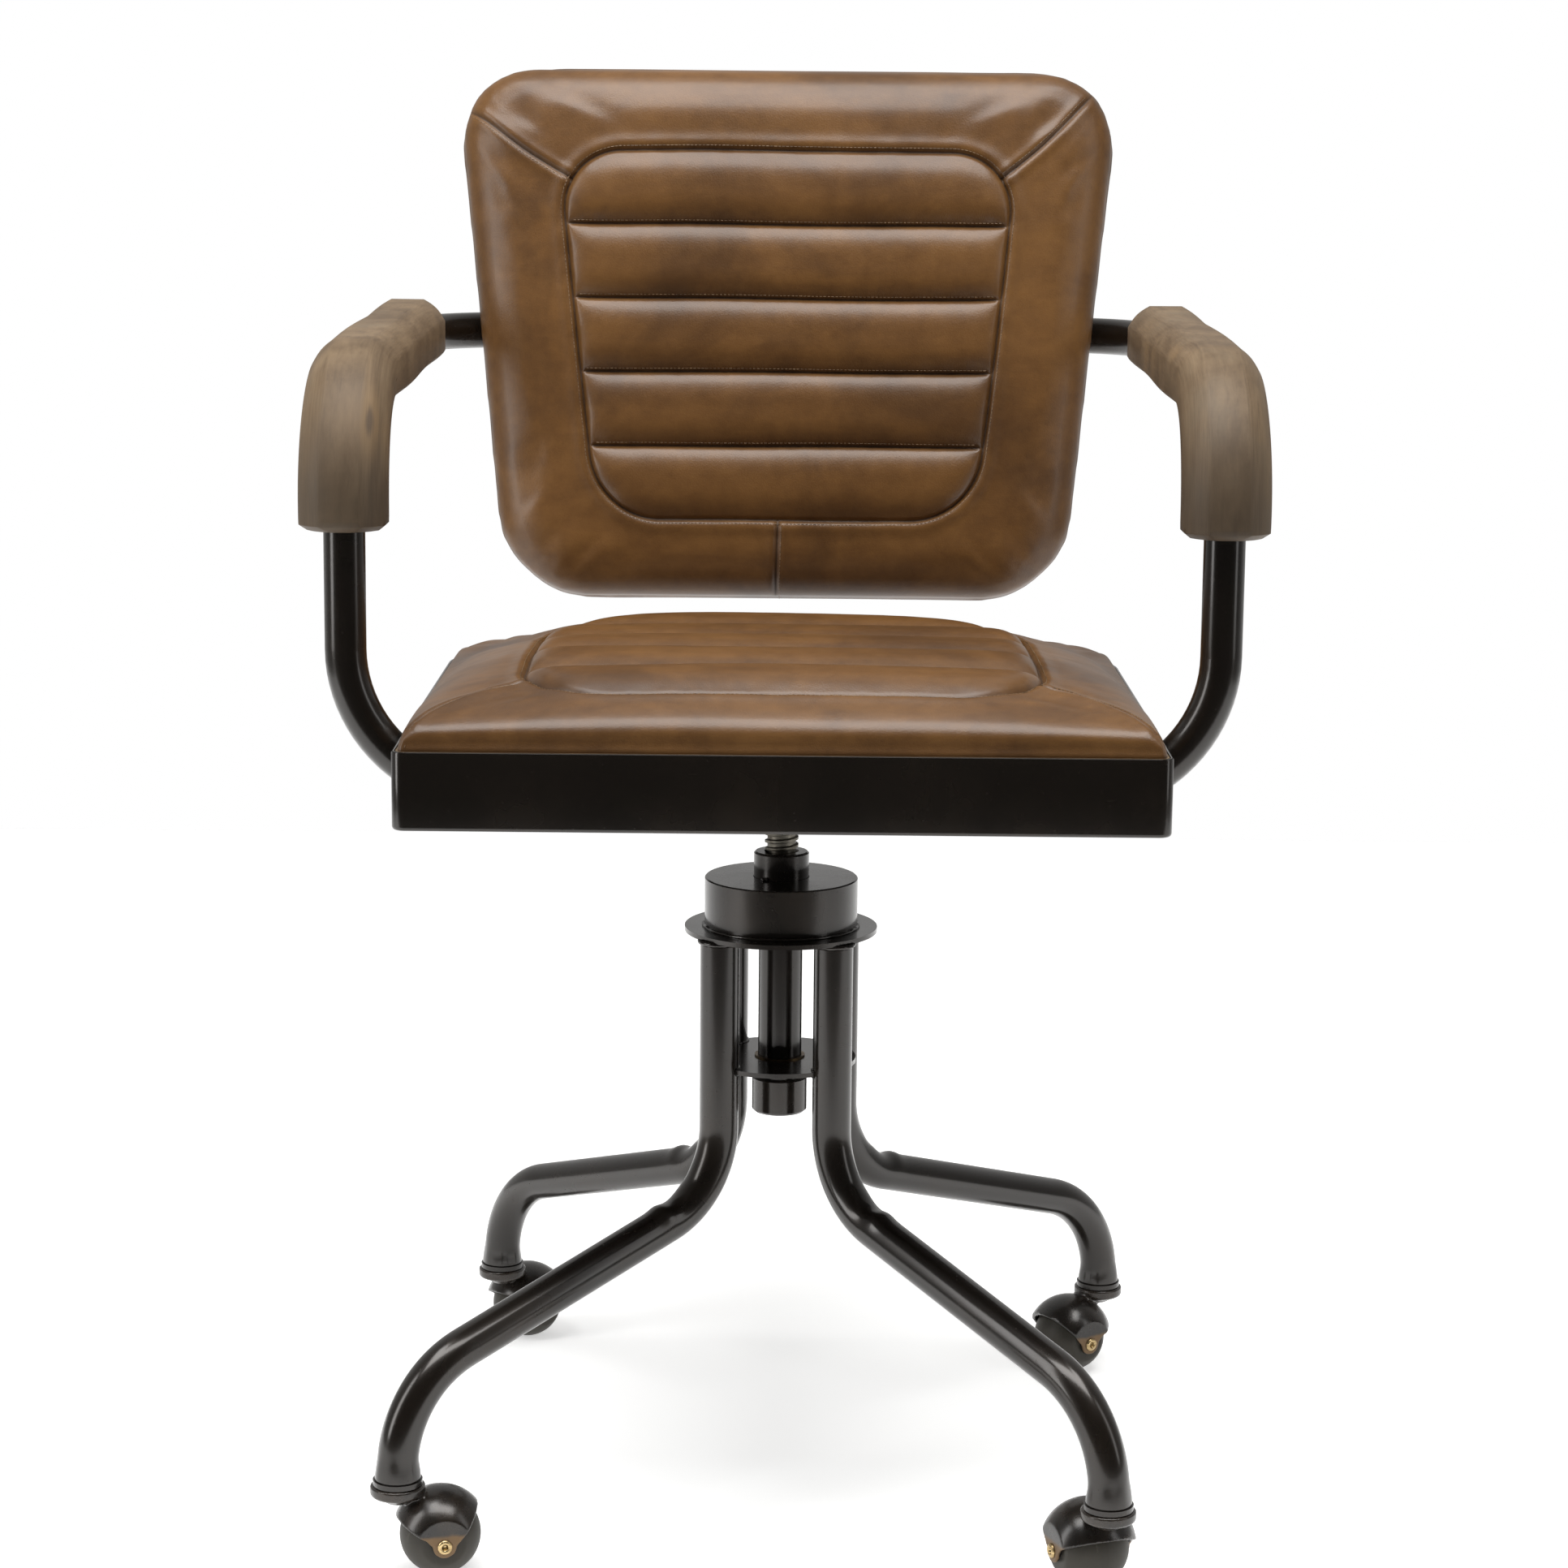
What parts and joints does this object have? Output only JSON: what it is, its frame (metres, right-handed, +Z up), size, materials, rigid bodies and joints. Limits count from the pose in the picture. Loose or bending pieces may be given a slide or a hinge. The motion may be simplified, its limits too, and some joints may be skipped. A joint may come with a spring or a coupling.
{
  "type": "swivel desk chair",
  "caption": "Padded swivel armchair with channelled seat and back, wooden armrests on a bent tube, a lifting screw and a splayed tube base on ball casters.",
  "frame": {"origin": "on the floor, under the swivel axis", "axes": "+Z up along the swivel axis, the sitter faces -Y and the sitter's left is +X"},
  "size_m": [0.586, 0.5782, 0.9259],
  "materials": {
    "frame_lacquer": "gloss dark bronze lacquer",
    "bearing_steel": "ground steel",
    "bush_brass": "plain",
    "screw_steel": "oiled grey steel",
    "fasteners": "dull zinc",
    "plywood": "raw",
    "leather": "aged glossy tan brown",
    "leather_back": "aged tan brown",
    "armrest_wood": "worn, waxed",
    "caster_bronze": "dark bronze, worn",
    "axle_brass": "worn",
    "ball_rubber": "dull dark grey"
  },
  "bodies": {
    "base": {"flange_plate": "frame_lacquer", "hub_drum": "frame_lacquer", "drum_lid": "frame_lacquer", "lower_race": "bearing_steel", "leg_front_left": "frame_lacquer", "leg_front_right": "frame_lacquer", "leg_back_left": "frame_lacquer", "leg_back_right": "frame_lacquer", "spider_plate": "frame_lacquer", "guide_bushing": "bush_brass", "stem_sockets": "frame_lacquer"},
    "nut_sleeve": {"nut_collar": "frame_lacquer", "column_tube": "frame_lacquer", "end_cap": "frame_lacquer", "lock_ring": "frame_lacquer", "upper_race": "bearing_steel", "bearing_balls": "bearing_steel", "ball_cage": "bearing_steel"},
    "spindle_guide": {"guide_shoe": "bush_brass"},
    "seat": {"spindle": "screw_steel", "journal_nut": "screw_steel", "head_plate": "frame_lacquer", "cross_rails": "frame_lacquer", "head_bolts": "fasteners", "seat_pan": "frame_lacquer", "seat_board": "plywood", "seat_screws": "fasteners", "seat_cushion": "leather", "arm_frame_tube": "frame_lacquer", "armrest_left": "armrest_wood", "armrest_right": "armrest_wood", "armrest_screws": "fasteners", "back_brackets": "frame_lacquer", "back_bolts": "fasteners", "back_board": "plywood", "back_cover": "leather_back", "back_cushion": "leather"},
    "caster_front_left": {"caster_hood_front_left": "caster_bronze", "caster_stem_front_left": "screw_steel", "caster_axle_front_left": "axle_brass"},
    "ball_front_left": {"caster_ball_front_left": "ball_rubber"},
    "caster_front_right": {"caster_hood_front_right": "caster_bronze", "caster_stem_front_right": "screw_steel", "caster_axle_front_right": "axle_brass"},
    "ball_front_right": {"caster_ball_front_right": "ball_rubber"},
    "caster_back_left": {"caster_hood_back_left": "caster_bronze", "caster_stem_back_left": "screw_steel", "caster_axle_back_left": "axle_brass"},
    "ball_back_left": {"caster_ball_back_left": "ball_rubber"},
    "caster_back_right": {"caster_hood_back_right": "caster_bronze", "caster_stem_back_right": "screw_steel", "caster_axle_back_right": "axle_brass"},
    "ball_back_right": {"caster_ball_back_right": "ball_rubber"}
  },
  "joints": [
    {"name": "seat_swivel", "type": "hinge", "parent": "base", "child": "nut_sleeve", "pos_m": [0, 0, 0.385], "axis": [0, 0, 1], "continuous": true},
    {"name": "seat_height", "type": "slide", "parent": "nut_sleeve", "child": "spindle_guide", "axis": [0, 0, 1], "range_m": [-0.052, 0.037]},
    {"name": "screw_turn", "type": "hinge", "parent": "spindle_guide", "child": "seat", "pos_m": [0, 0, 0.332], "axis": [0, 0, 1], "range_deg": [-3600, 2520]},
    {"name": "caster_turn_front_left", "type": "hinge", "parent": "base", "child": "caster_front_left", "pos_m": [0.20207, -0.23245, 0.065], "axis": [0, 0, 1], "continuous": true},
    {"name": "ball_roll_front_left", "type": "hinge", "parent": "caster_front_left", "child": "ball_front_left", "pos_m": [0.19275, -0.20818, 0.025], "axis": [-0.9336, -0.3584, 0], "continuous": true},
    {"name": "caster_turn_front_right", "type": "hinge", "parent": "base", "child": "caster_front_right", "pos_m": [-0.23245, -0.20207, 0.065], "axis": [0, 0, 1], "continuous": true},
    {"name": "ball_roll_front_right", "type": "hinge", "parent": "caster_front_right", "child": "ball_front_right", "pos_m": [-0.20702, -0.19666, 0.025], "axis": [-0.2079, 0.9781, 0], "continuous": true},
    {"name": "caster_turn_back_left", "type": "hinge", "parent": "base", "child": "caster_back_left", "pos_m": [0.23245, 0.20207, 0.065], "axis": [0, 0, 1], "continuous": true},
    {"name": "ball_roll_back_left", "type": "hinge", "parent": "caster_back_left", "child": "ball_back_left", "pos_m": [0.21115, 0.18715, 0.025], "axis": [0.5736, -0.8192, 0], "continuous": true},
    {"name": "caster_turn_back_right", "type": "hinge", "parent": "base", "child": "caster_back_right", "pos_m": [-0.20207, 0.23245, 0.065], "axis": [0, 0, 1], "continuous": true},
    {"name": "ball_roll_back_right", "type": "hinge", "parent": "caster_back_right", "child": "ball_back_right", "pos_m": [-0.18535, 0.25237, 0.025], "axis": [-0.766, 0.6428, 0], "continuous": true}
  ],
  "couplings": [
    {"joint": "seat_height", "follows": "screw_turn", "m_per_rad": 0.00079577}
  ]
}
